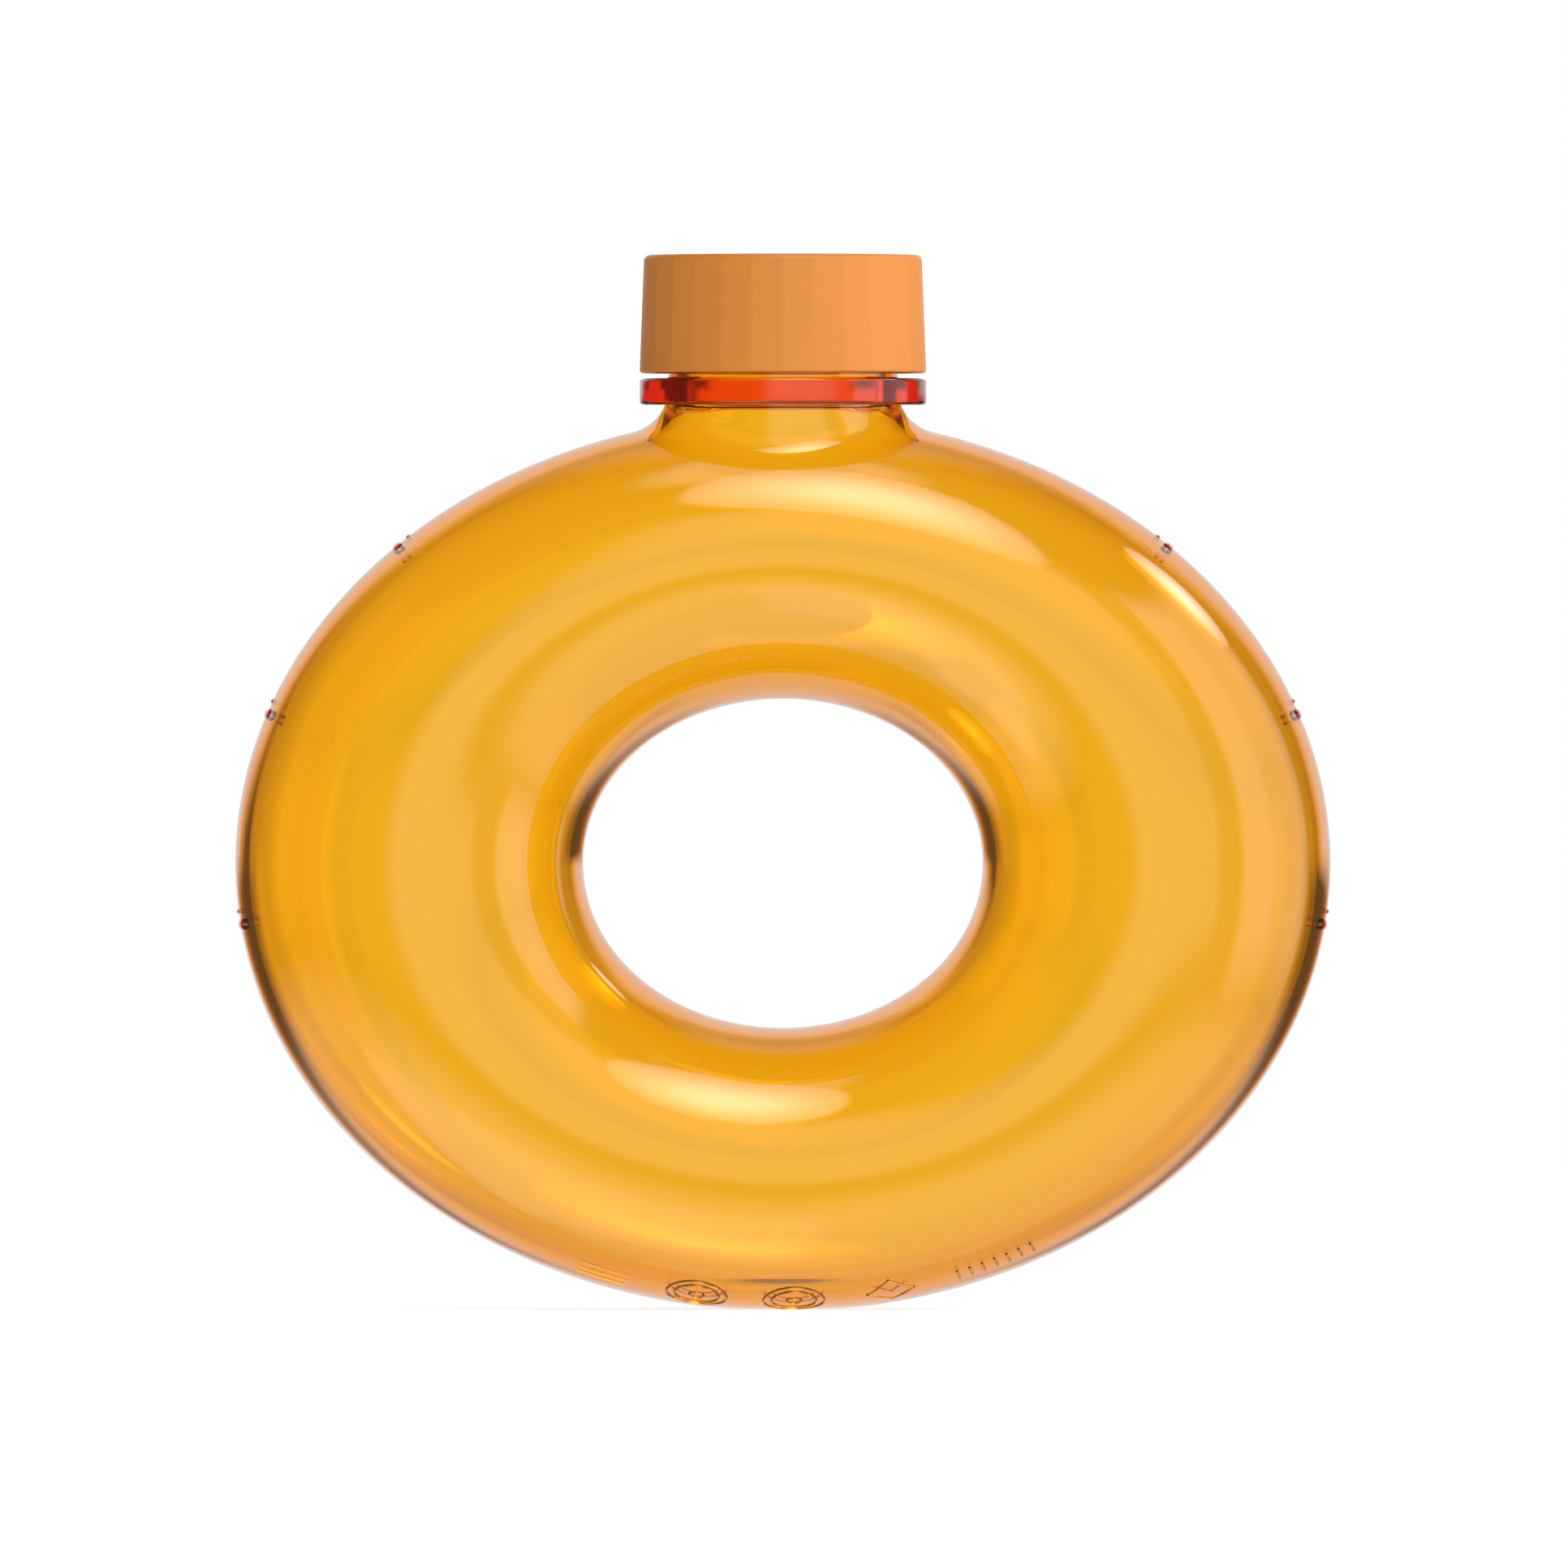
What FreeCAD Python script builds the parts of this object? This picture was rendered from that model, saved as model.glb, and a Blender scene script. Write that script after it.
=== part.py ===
import FreeCAD, Part
import math
import os

# Ring-shaped bottle with a faceted screw cap, in millimetres.
# The origin is the centre of the flat foot. X runs across the ring, Y through its hand hole
# (the front is -Y), and Z is up, along the axis of the neck and of the cap.

# ---- driving dimensions: the ring ----
RING_HALF_WIDTH = 101.2
RING_HALF_HEIGHT = 82.85
HOLE_HALF_WIDTH = 36.9
HOLE_HALF_HEIGHT = 30.4
RING_HALF_DEPTH = 32.15
WALL = 2.4
FOOT_CUT = 0.5  # how much of the lowest curve is taken off to make the foot flat
FOOT_SQUARENESS = 0.36  # how much squarer than an ellipse the tube is over the foot
FOOT_SPREAD = 6  # the power that keeps that squareness to the bottom of the ring
FOOT_SIDE_SPREAD = 3  # the power that keeps it to the outer side of the tube
POLES_ROUND_RING = 36
POLES_ROUND_TUBE = 24

# ---- driving dimensions: the neck ----
NECK_R = 21.2
BORE_R = 17.9
SHOULDER_FILLET = 8.5
THICK_NECK_BOTTOM = 166.3  # the wall is even and thin below this height
NECK_RING_BOTTOM = 167.0
NECK_RING_THICK = 4.9
NECK_RING_R = 26.5
NECK_RING_ROUND = 0.7
NECK_TOP = 181.4
NECK_RIM_ROUND = 0.5

# ---- driving dimensions: the two-start thread ----
THREAD_STARTS = 2
THREAD_LEAD = 10.0
THREAD_TURN = 0.5  # of a turn, for each start
THREAD_ROOT_R = 20.6
THREAD_STEP = NECK_R - THREAD_ROOT_R  # a cone of this height leads down to the root
THREAD_HEIGHT = 1.1
THREAD_BASE = 2.0
THREAD_CREST = 0.9
THREAD_CLEARANCE = 0.4
THREAD_FLANK_OFFSET = 1.6  # how far the cap's ridge lies below the neck's
THREAD_BURIED = 0.4  # how deep a ridge reaches into its wall
NECK_THREAD_START_Z = 174.6
CAP_THREAD_START_Z = 175.0

# ---- driving dimensions: the cap ----
CAP_GAP = 1.05  # open gap between the neck ring and the cap
CAP_HEIGHT = 21.8
CAP_FACETS = 28
CAP_R_BOTTOM = 26.5
CAP_R_TOP = 25.7
CAP_TOP_ROUND = 1.2
CAP_BOTTOM_ROUND = 0.7
CAP_TOP_THICK = 2.0
CAP_BORE_R = 23.8
CAP_BORE_ROUND = 1.0
CUP_WALL = 1.4
CUP_PLAY = 0.15  # between the dosing cup and the cap's outer shell
CUP_INNER_R = 18.8
CUP_CEILING_ROUND = 1.0
CUP_STEP_ROUND = 0.6
CUP_TOP_ROUND = 0.8
CUP_SKIRT_BOTTOM = 173.5
SNAP_BEAD_R = 0.6
SNAP_BEAD_Z = 177.0

# ---- driving dimensions: the pour spout and its liner ----
SPOUT_FLANGE_R = 20.5
SPOUT_FLANGE_THICK = 1.3
SPOUT_WALL = 1.2
SPOUT_FLANGE_ROUND = 0.5
SPOUT_PLUG_ROUND = 0.8
SPOUT_PLUG_PLAY = 0.1
SPOUT_PLUG_DEPTH = 8.6
SPOUT_TUBE_R = 9.5
SPOUT_OFFSET_X = 2.5  # the lip side
SPOUT_TIP_Z = 190.3
SPOUT_LOW_SIDE_Z = 184.6
DRAIN_HOLE_R = 2.0
DRAIN_HOLE_X = -12.3
LINER_THICK = 1.2
LINER_INNER_R = 18.9
LINER_OUTER_R = 21.3

# ---- worked out from those ----
TUBE_HALF_WIDTH = (RING_HALF_WIDTH - HOLE_HALF_WIDTH) / 2
TUBE_HALF_HEIGHT = (RING_HALF_HEIGHT - HOLE_HALF_HEIGHT) / 2
PATH_HALF_WIDTH = (RING_HALF_WIDTH + HOLE_HALF_WIDTH) / 2
PATH_HALF_HEIGHT = (RING_HALF_HEIGHT + HOLE_HALF_HEIGHT) / 2
RING_CENTRE_Z = RING_HALF_HEIGHT - FOOT_CUT
NECK_RING_TOP = NECK_RING_BOTTOM + NECK_RING_THICK
CAP_BOTTOM = NECK_RING_TOP + CAP_GAP
CAP_TOP = CAP_BOTTOM + CAP_HEIGHT
CAP_CEILING = CAP_TOP - CAP_TOP_THICK
THREAD_CREST_R = THREAD_ROOT_R + THREAD_HEIGHT
CUP_MAJOR_R = THREAD_CREST_R + THREAD_CLEARANCE
CUP_SKIRT_R = CAP_BORE_R - CUP_PLAY
SPOUT_FLANGE_TOP = NECK_TOP + SPOUT_FLANGE_THICK
LINER_TOP = SPOUT_FLANGE_TOP + LINER_THICK
CUP_TOP = CAP_CEILING - CUP_PLAY
CUP_CEILING = CUP_TOP - CUP_WALL
PLUG_R = BORE_R - SPOUT_PLUG_PLAY
PLUG_BOTTOM = NECK_TOP - SPOUT_PLUG_DEPTH
UP = FreeCAD.Vector(0, 0, 1)
SPLINE_ROUNDS = 40  # rounds of correction, by which the poles have settled
EDGE_MATCH = 0.1  # how near a measured edge comes to its true width
SADDLE_RISE = 1  # only the edge that follows the ring's crown rises by more than this
SLAB_SIZE = 80  # wider than the neck and the foot
SPARE = 1  # how far a cutting shape runs past the face it cuts


def point(x, y, z):
    return FreeCAD.Vector(x, y, z)


def spline_poles(targets):
    """The poles of a closed cubic spline of even knots that passes through the targets."""
    poles = list(targets)
    count = len(poles)
    for _ in range(SPLINE_ROUNDS):
        before = poles
        poles = []
        for k in range(count):
            poles.append((targets[k] * 6 - before[k - 1] - before[(k + 1) % count]) * 0.25)
    return poles


def ring_point(around_ring, around_tube, inset):
    """A point of the ring's skin, moved inwards by inset. The tube's section is an ellipse,
    and grows squarer on its outer side towards the bottom of the ring, where the foot is."""
    at_bottom = ((1 - math.sin(around_ring)) / 2) ** FOOT_SPREAD
    on_outside = ((1 + math.cos(around_tube)) / 2) ** FOOT_SIDE_SPREAD
    square = FOOT_SQUARENESS * at_bottom * on_outside
    out = math.cos(around_tube) * (1 + square * math.sin(around_tube) ** 2)
    across = math.sin(around_tube) * (1 + square * math.cos(around_tube) ** 2)
    x = math.cos(around_ring) * (PATH_HALF_WIDTH + (TUBE_HALF_WIDTH - inset) * out)
    z = math.sin(around_ring) * (PATH_HALF_HEIGHT + (TUBE_HALF_HEIGHT - inset) * out)
    return point(x, (RING_HALF_DEPTH - inset) * across, RING_CENTRE_Z + z)


def ring_solid(inset):
    """The ring as one closed spline skin. Its seams lie at the side and in the hand hole."""
    rows = []
    for i in range(POLES_ROUND_RING):
        around_ring = 2 * math.pi * i / POLES_ROUND_RING
        row = []
        for j in range(POLES_ROUND_TUBE):
            around_tube = math.pi + 2 * math.pi * j / POLES_ROUND_TUBE
            row.append(ring_point(around_ring, around_tube, inset))
        rows.append(spline_poles(row))
    columns = []
    for j in range(POLES_ROUND_TUBE):
        columns.append(spline_poles([row[j] for row in rows]))
    poles = [[columns[j][i] for j in range(POLES_ROUND_TUBE)] for i in range(POLES_ROUND_RING)]
    knots_ring = list(range(POLES_ROUND_RING + 1))
    knots_tube = list(range(POLES_ROUND_TUBE + 1))
    skin = Part.BSplineSurface()
    skin.buildFromPolesMultsKnots(
        poles, [1] * len(knots_ring), [1] * len(knots_tube), knots_ring, knots_tube, True, True, 3, 3
    )
    solid = Part.Solid(Part.Shell([skin.toShape()]))
    if solid.Volume < 0:
        solid.reverse()
    return solid


def cylinder(radius, bottom, top, x=0):
    return Part.makeCylinder(radius, top - bottom, point(x, 0, bottom), UP)


def slab(bottom, top):
    """A block about the Z axis, to cut with."""
    return Part.makeBox(SLAB_SIZE, SLAB_SIZE, top - bottom, point(-SLAB_SIZE / 2, -SLAB_SIZE / 2, bottom))


def shoulder_edge(solid, radius):
    """The closed edge where a neck of this radius runs into the ring's skin."""
    for edge in solid.Edges:
        box = edge.BoundBox
        if abs(box.XLength - 2 * radius) < EDGE_MATCH and box.ZLength > SADDLE_RISE:
            return edge
    raise RuntimeError("no shoulder edge")


def ring_with_neck(inset, neck_radius, fillet, top):
    """The ring, its neck, and the soft shoulder between them."""
    neck = cylinder(neck_radius, RING_CENTRE_Z + PATH_HALF_HEIGHT, top)
    joined = ring_solid(inset).fuse(neck)
    return joined.makeFillet(fillet, [shoulder_edge(joined, neck_radius)])


def turned(profile, *rounds):
    """A solid turned about the Z axis from (radius, height) corners. rounds are pairs of a
    corner's number and the radius that rounds it."""
    corners = [point(r, 0, z) for r, z in profile]
    radii = dict(rounds)
    count = len(corners)
    edges = []
    starts = []
    ends = []
    for k in range(count):
        corner = corners[k]
        radius = radii.get(k, 0)
        if radius == 0:
            starts.append(corner)
            ends.append(corner)
            continue
        back = (corners[k - 1] - corner).normalize()
        ahead = (corners[(k + 1) % count] - corner).normalize()
        half = back.getAngle(ahead) / 2
        reach = radius / math.tan(half)
        middle = (back + ahead).normalize() * (radius / math.sin(half) - radius)
        starts.append(corner + back * reach)
        ends.append(corner + ahead * reach)
        edges.append(Part.Arc(starts[k], corner + middle, ends[k]).toShape())
    for k in range(count):
        edges.append(Part.LineSegment(ends[k], starts[(k + 1) % count]).toShape())
    outline = Part.Wire(Part.__sortEdges__(edges))
    return Part.Face(outline).revolve(point(0, 0, 0), UP, 360)


def thread_ridge(root_radius, height, start_z, start_degrees):
    """One start of a right-hand thread, as a ridge that stands on a wall of root_radius:
    outwards where height is above zero and inwards where it is below."""
    inwards = height < 0
    foot_radius = root_radius + THREAD_BURIED if inwards else root_radius - THREAD_BURIED
    slope = (THREAD_BASE - THREAD_CREST) / 2 / abs(height)
    foot_half = THREAD_BASE / 2 + slope * THREAD_BURIED
    crest_half = THREAD_CREST / 2
    tip_radius = root_radius + height
    section = Part.makePolygon([
        point(foot_radius, 0, -foot_half),
        point(tip_radius, 0, -crest_half),
        point(tip_radius, 0, crest_half),
        point(foot_radius, 0, foot_half),
        point(foot_radius, 0, -foot_half),
    ])
    path = Part.makeHelix(THREAD_LEAD, THREAD_LEAD * THREAD_TURN, root_radius)
    ridge = Part.Wire(path).makePipeShell([section], True, True)
    ridge.rotate(point(0, 0, 0), UP, start_degrees)
    ridge.translate(point(0, 0, start_z))
    return ridge


def thread_ridges(root_radius, height, start_z, start_degrees):
    ridges = []
    for start in range(THREAD_STARTS):
        turned_on = start_degrees + 360 / THREAD_STARTS * start
        ridges.append(thread_ridge(root_radius, height, start_z, turned_on))
    return ridges


def make_bottle_shell():
    """The bottle is one blow-moulded piece: the ring, its shoulder, the neck ring and the
    threaded neck, with an even wall round a hollow that is open at the top."""
    skin = ring_with_neck(0, NECK_R, SHOULDER_FILLET, NECK_RING_TOP)
    neck_ring = turned(
        [
            (NECK_R - SPARE, NECK_RING_BOTTOM),
            (NECK_RING_R, NECK_RING_BOTTOM),
            (NECK_RING_R, NECK_RING_TOP),
            (NECK_R - SPARE, NECK_RING_TOP),
        ],
        (1, NECK_RING_ROUND),
        (2, NECK_RING_ROUND),
    )
    step_z = NECK_RING_TOP + CAP_GAP
    finish = turned(
        [
            (BORE_R - SPARE, NECK_RING_TOP - SPARE),
            (NECK_R, NECK_RING_TOP - SPARE),
            (NECK_R, step_z),
            (THREAD_ROOT_R, step_z + THREAD_STEP),
            (THREAD_ROOT_R, NECK_TOP),
            (BORE_R - SPARE, NECK_TOP),
        ],
        (4, NECK_RIM_ROUND),
    )
    ridges = thread_ridges(THREAD_ROOT_R, THREAD_HEIGHT, NECK_THREAD_START_Z, 0)
    outside = skin.fuse([neck_ring, finish] + ridges)
    hollow = ring_with_neck(WALL, NECK_R - WALL, SHOULDER_FILLET + WALL, NECK_TOP)
    hollow = hollow.cut(slab(THICK_NECK_BOTTOM, NECK_TOP + SPARE))
    bore = cylinder(BORE_R, RING_CENTRE_Z + PATH_HALF_HEIGHT, NECK_TOP + SPARE)
    return outside.cut([hollow, bore, slab(-FOOT_CUT - SPARE, 0)])


def make_pour_spout():
    """The fitment pressed into the neck: a flange on the neck's rim, a well that catches
    drips, a drain hole back into the bottle, and an off-centre tube cut to a pouring lip."""
    floor_z = PLUG_BOTTOM + SPOUT_WALL
    well = turned(
        [
            (0, PLUG_BOTTOM),
            (PLUG_R, PLUG_BOTTOM),
            (PLUG_R, NECK_TOP),
            (SPOUT_FLANGE_R, NECK_TOP),
            (SPOUT_FLANGE_R, SPOUT_FLANGE_TOP),
            (PLUG_R - SPOUT_WALL, SPOUT_FLANGE_TOP),
            (PLUG_R - SPOUT_WALL, floor_z),
            (0, floor_z),
        ],
        (1, SPOUT_PLUG_ROUND),
        (4, SPOUT_FLANGE_ROUND),
    )
    tube_top = SPOUT_TIP_Z + SPARE
    tube = cylinder(SPOUT_TUBE_R, floor_z - SPOUT_WALL / 2, tube_top, SPOUT_OFFSET_X)
    passage = cylinder(SPOUT_TUBE_R - SPOUT_WALL, PLUG_BOTTOM - SPARE, tube_top + SPARE, SPOUT_OFFSET_X)
    drain = cylinder(DRAIN_HOLE_R, PLUG_BOTTOM - SPARE, floor_z + SPARE, DRAIN_HOLE_X)
    low_x = SPOUT_OFFSET_X - SPOUT_TUBE_R
    high_x = SPOUT_OFFSET_X + SPOUT_TUBE_R
    lip_y = SPOUT_TUBE_R + SPARE
    above_lip = Part.makePolygon([
        point(low_x - SPARE, -lip_y, SPOUT_LOW_SIDE_Z),
        point(high_x, -lip_y, SPOUT_TIP_Z),
        point(high_x + SPARE, -lip_y, tube_top + SPARE),
        point(low_x - SPARE, -lip_y, tube_top + SPARE),
        point(low_x - SPARE, -lip_y, SPOUT_LOW_SIDE_Z),
    ])
    cutter = Part.Face(above_lip).extrude(point(0, 2 * lip_y, 0))
    return well.fuse(tube).cut([passage, drain, cutter])


def facet_ring(radius, z):
    corners = []
    for k in range(CAP_FACETS + 1):
        angle = 2 * math.pi * k / CAP_FACETS - math.pi / 2
        corners.append(point(radius * math.cos(angle), radius * math.sin(angle), z))
    return Part.makePolygon(corners)


def make_cap_shell():
    """The outer cap: a slightly conical cup of flat facets, rounded at its top and bottom."""
    bottom_ring = facet_ring(CAP_R_BOTTOM, CAP_BOTTOM)
    top_ring = facet_ring(CAP_R_TOP, CAP_TOP)
    facets = Part.makeLoft([bottom_ring, top_ring], True, True)
    envelope = turned(
        [(0, CAP_BOTTOM), (CAP_R_BOTTOM, CAP_BOTTOM), (CAP_R_TOP, CAP_TOP), (0, CAP_TOP)],
        (1, CAP_BOTTOM_ROUND),
        (2, CAP_TOP_ROUND),
    )
    hollow = turned(
        [
            (0, CAP_BOTTOM - SPARE),
            (CAP_BORE_R, CAP_BOTTOM - SPARE),
            (CAP_BORE_R, CAP_CEILING),
            (0, CAP_CEILING),
        ],
        (2, CAP_BORE_ROUND),
    )
    groove = Part.makeTorus(CAP_BORE_R - CUP_PLAY, SNAP_BEAD_R + CUP_PLAY, point(0, 0, SNAP_BEAD_Z), UP)
    return facets.common(envelope).cut([hollow, groove])


def make_dosing_cup():
    """The inner closure: a threaded skirt, a step that holds the liner, and a narrower cup
    that goes over the spout and measures a dose when the cap is held upside down."""
    cup_outer_r = CUP_INNER_R + CUP_WALL
    body = turned(
        [
            (0, CUP_TOP),
            (0, CUP_CEILING),
            (CUP_INNER_R, CUP_CEILING),
            (CUP_INNER_R, LINER_TOP),
            (CUP_MAJOR_R, LINER_TOP),
            (CUP_MAJOR_R, CUP_SKIRT_BOTTOM),
            (CUP_SKIRT_R, CUP_SKIRT_BOTTOM),
            (CUP_SKIRT_R, LINER_TOP + CUP_WALL),
            (cup_outer_r, LINER_TOP + CUP_WALL),
            (cup_outer_r, CUP_TOP),
        ],
        (2, CUP_CEILING_ROUND),
        (7, CUP_STEP_ROUND),
        (9, CUP_TOP_ROUND),
    )
    bead = Part.makeTorus(CUP_SKIRT_R, SNAP_BEAD_R, point(0, 0, SNAP_BEAD_Z), UP)
    inside = cylinder(CUP_MAJOR_R + CUP_PLAY, CUP_SKIRT_BOTTOM, LINER_TOP)
    start_z = CAP_THREAD_START_Z
    neck_centre_z = start_z + THREAD_FLANK_OFFSET
    start_degrees = (neck_centre_z - NECK_THREAD_START_Z) / THREAD_LEAD * 360
    ridges = thread_ridges(CUP_MAJOR_R, -THREAD_HEIGHT, start_z, start_degrees)
    return body.fuse([bead.cut(inside)] + ridges)


def make_cap_liner():
    """The foam seal between the dosing cup's step and the spout's flange."""
    return turned(
        [
            (LINER_INNER_R, SPOUT_FLANGE_TOP),
            (LINER_OUTER_R, SPOUT_FLANGE_TOP),
            (LINER_OUTER_R, LINER_TOP),
            (LINER_INNER_R, LINER_TOP),
        ]
    )


def main():
    makers = {
        "bottle_shell": make_bottle_shell,
        "pour_spout": make_pour_spout,
        "cap_shell": make_cap_shell,
        "dosing_cup": make_dosing_cup,
        "cap_liner": make_cap_liner,
    }
    os.makedirs("parts", exist_ok=True)
    for name, make in makers.items():
        shape = make()
        if len(shape.Solids) != 1 or not shape.isValid():
            raise RuntimeError(name + " is not one sound solid")
        shape.Solids[0].exportStep("parts/" + name + ".step")
        print(name, round(shape.Volume / 1000, 2), "cm3")


main()
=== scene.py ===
import bmesh
import bpy
import math
import numpy as np
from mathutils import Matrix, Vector


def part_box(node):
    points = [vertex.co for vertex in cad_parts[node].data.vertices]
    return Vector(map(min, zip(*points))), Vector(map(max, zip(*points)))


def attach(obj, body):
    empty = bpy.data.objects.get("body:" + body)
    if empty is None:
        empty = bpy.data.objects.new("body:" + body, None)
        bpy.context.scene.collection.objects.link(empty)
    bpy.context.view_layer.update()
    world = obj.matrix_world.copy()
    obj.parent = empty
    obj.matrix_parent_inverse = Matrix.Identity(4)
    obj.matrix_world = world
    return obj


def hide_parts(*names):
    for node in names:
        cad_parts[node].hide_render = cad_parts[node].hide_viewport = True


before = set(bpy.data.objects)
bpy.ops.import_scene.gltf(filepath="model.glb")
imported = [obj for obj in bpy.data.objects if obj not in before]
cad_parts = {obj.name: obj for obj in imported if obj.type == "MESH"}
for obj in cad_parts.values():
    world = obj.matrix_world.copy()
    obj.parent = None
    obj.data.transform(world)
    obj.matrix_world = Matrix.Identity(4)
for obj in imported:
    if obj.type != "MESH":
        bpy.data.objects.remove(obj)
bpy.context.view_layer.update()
MM = 0.001

# ---- the bottle's sizes, in millimetres: its box comes from model.glb, the rest repeats the design ----
SHELL_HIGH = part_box("bottle_shell")[1] / MM
CAP_LOW, CAP_HIGH = (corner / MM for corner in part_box("cap_shell"))
RING_HALF_WIDTH = SHELL_HIGH.x
RING_HALF_DEPTH = SHELL_HIGH.y
RING_HALF_HEIGHT = 82.85
HOLE_HALF_WIDTH = 36.9
HOLE_HALF_HEIGHT = 30.4
WALL = 2.4
FOOT_CUT = 0.5  # how much of the lowest curve the flat foot takes off
FOOT_SQUARENESS = 0.36  # how much squarer than an ellipse the tube is over the foot
FOOT_SPREAD = 6  # the power that keeps that squareness to the bottom of the ring
FOOT_SIDE_SPREAD = 3  # the power that keeps it to the outer side of the tube
TUBE_HALF_WIDTH = (RING_HALF_WIDTH - HOLE_HALF_WIDTH) / 2
TUBE_HALF_HEIGHT = (RING_HALF_HEIGHT - HOLE_HALF_HEIGHT) / 2
PATH_HALF_WIDTH = (RING_HALF_WIDTH + HOLE_HALF_WIDTH) / 2
PATH_HALF_HEIGHT = (RING_HALF_HEIGHT + HOLE_HALF_HEIGHT) / 2
RING_CENTRE_Z = RING_HALF_HEIGHT - FOOT_CUT
NECK_R = 21.2
BORE_R = 17.9
SHOULDER_FILLET = 8.5
THICK_NECK_BOTTOM = 166.3
NECK_RING_BOTTOM = 167.0
NECK_RING_TOP = 171.9
NECK_RING_R = 26.5
NECK_RING_ROUND = 0.7
NECK_TOP = SHELL_HIGH.z
STEP_Z = CAP_LOW.z
THREAD_STARTS = 2
THREAD_LEAD = 10.0
THREAD_TURN = 0.5
THREAD_ROOT_R = 20.6
THREAD_HEIGHT = 1.1
THREAD_BASE = 2.0
THREAD_CREST = 0.9
THREAD_START_Z = 174.6
THREAD_END_TAPER = math.radians(12)  # over which the thread's ends run out
THREAD_ROOT_START = 0.8  # from the neck's step up to the first row of the threaded wall
RING_CREASE = 0.25  # the softened corner between the neck ring's top and the neck
RIM_ROUND = 0.5
RIM_SOFT = 0.15
BORE_EDGE_SOFT = 0.2
BORE_CORNER_ROUND = 0.3
CAP_FACETS = 28
CAP_R_BOTTOM = 26.5
CAP_R_TOP = 25.7
CAP_TOP_ROUND = 1.2
CAP_BOTTOM_ROUND = 0.7
CAP_TOP_THICK = 2.0
CAP_BORE_R = 23.8
CAP_BORE_ROUND = 1.0
SNAP_GROOVE_R = 23.65
SNAP_GROOVE_Z = 177.0
SNAP_GROOVE_ROUND = 0.75
CAP_EDGE_ROUND = 0.3
CAP_CORNER_SOFT = 0.025  # how far the facets' corners are taken back

# ---- how finely the ring is meshed, and the patch round its neck ----
STEPS_ROUND_RING = 360
STEPS_ROUND_TUBE = 120
PATCH_RING_STEPS = 27
PATCH_TUBE_STEPS = 22
PATCH_ROWS = 9
FILLET_ROWS = 10
UNDERSIDE_ROW = 2.5  # from the neck ring's edge in to the middle row of its flat underside
THREAD_ROW = 0.25
FACET_COLUMNS = (0, 0.05, 0.35, 0.65, 0.95)  # parts of a facet's width, counted from its corner
CAP_TOP_ROWS = (20.0, 12.0, 4.0)  # radii of the rows across the cap's flat top
HALVINGS = 40  # rounds of halving that find the fillet's start


def mesh_object(name, verts, faces, sharp_degrees=35):
    """A closed, smooth-shaded mesh from points in millimetres, its faces turned outwards."""
    mesh = bpy.data.meshes.new(name)
    mesh.from_pydata([tuple(float(c) * MM for c in v) for v in verts], [], faces)
    bm = bmesh.new()
    bm.from_mesh(mesh)
    bmesh.ops.recalc_face_normals(bm, faces=bm.faces)
    bm.to_mesh(mesh)
    bm.free()
    mesh.shade_smooth()
    mesh.set_sharp_from_angle(angle=math.radians(sharp_degrees))
    obj = bpy.data.objects.new(name, mesh)
    bpy.context.scene.collection.objects.link(obj)
    return obj


def arc(centre_r, centre_z, radius, first, last, steps):
    """(radius, height) points of an arc between two angles in degrees, measured from level."""
    points = []
    for k in range(steps + 1):
        angle = math.radians(first + (last - first) * k / steps)
        points.append((centre_r + radius * math.cos(angle), centre_z + radius * math.sin(angle)))
    return points


def ring_of_points(radius, angles, z):
    """A level row of points about the Z axis."""
    return np.stack([radius * np.cos(angles), radius * np.sin(angles), np.full_like(angles, z)], axis=-1)


# ------------------------------------------------------------------ the bottle


def ring_points(around_ring, around_tube, inset):
    """Points of the ring's skin, moved inwards by inset, squarer over the foot. The outer skin
    bends softly into the flat of the foot; the inner one has no foot."""
    at_bottom = ((1 - np.sin(around_ring)) / 2) ** FOOT_SPREAD
    on_outside = ((1 + np.cos(around_tube)) / 2) ** FOOT_SIDE_SPREAD
    square = FOOT_SQUARENESS * at_bottom * on_outside
    out = np.cos(around_tube) * (1 + square * np.sin(around_tube) ** 2)
    across = np.sin(around_tube) * (1 + square * np.cos(around_tube) ** 2)
    x = np.cos(around_ring) * (PATH_HALF_WIDTH + (TUBE_HALF_WIDTH - inset) * out)
    z = RING_CENTRE_Z + np.sin(around_ring) * (PATH_HALF_HEIGHT + (TUBE_HALF_HEIGHT - inset) * out)
    y = (RING_HALF_DEPTH - inset) * across
    if inset == 0:
        z = np.where(z < FOOT_CUT, (z + FOOT_CUT) ** 2 / (4 * FOOT_CUT), z)
    return np.stack([x, y, z], axis=-1)


def top_angles(x, y, inset):
    """The ring's two angles at the top of the ring above (x, y)."""
    around_tube = np.arcsin(y / (RING_HALF_DEPTH - inset))
    reach = PATH_HALF_WIDTH + (TUBE_HALF_WIDTH - inset) * np.cos(around_tube)
    return np.arccos(x / reach), around_tube


def top_height(r, phi, inset):
    """The height of the ring's top at a radius and direction from the neck's axis."""
    around_ring, around_tube = top_angles(r * np.cos(phi), r * np.sin(phi), inset)
    return ring_points(around_ring, around_tube, inset)[..., 2]


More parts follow.
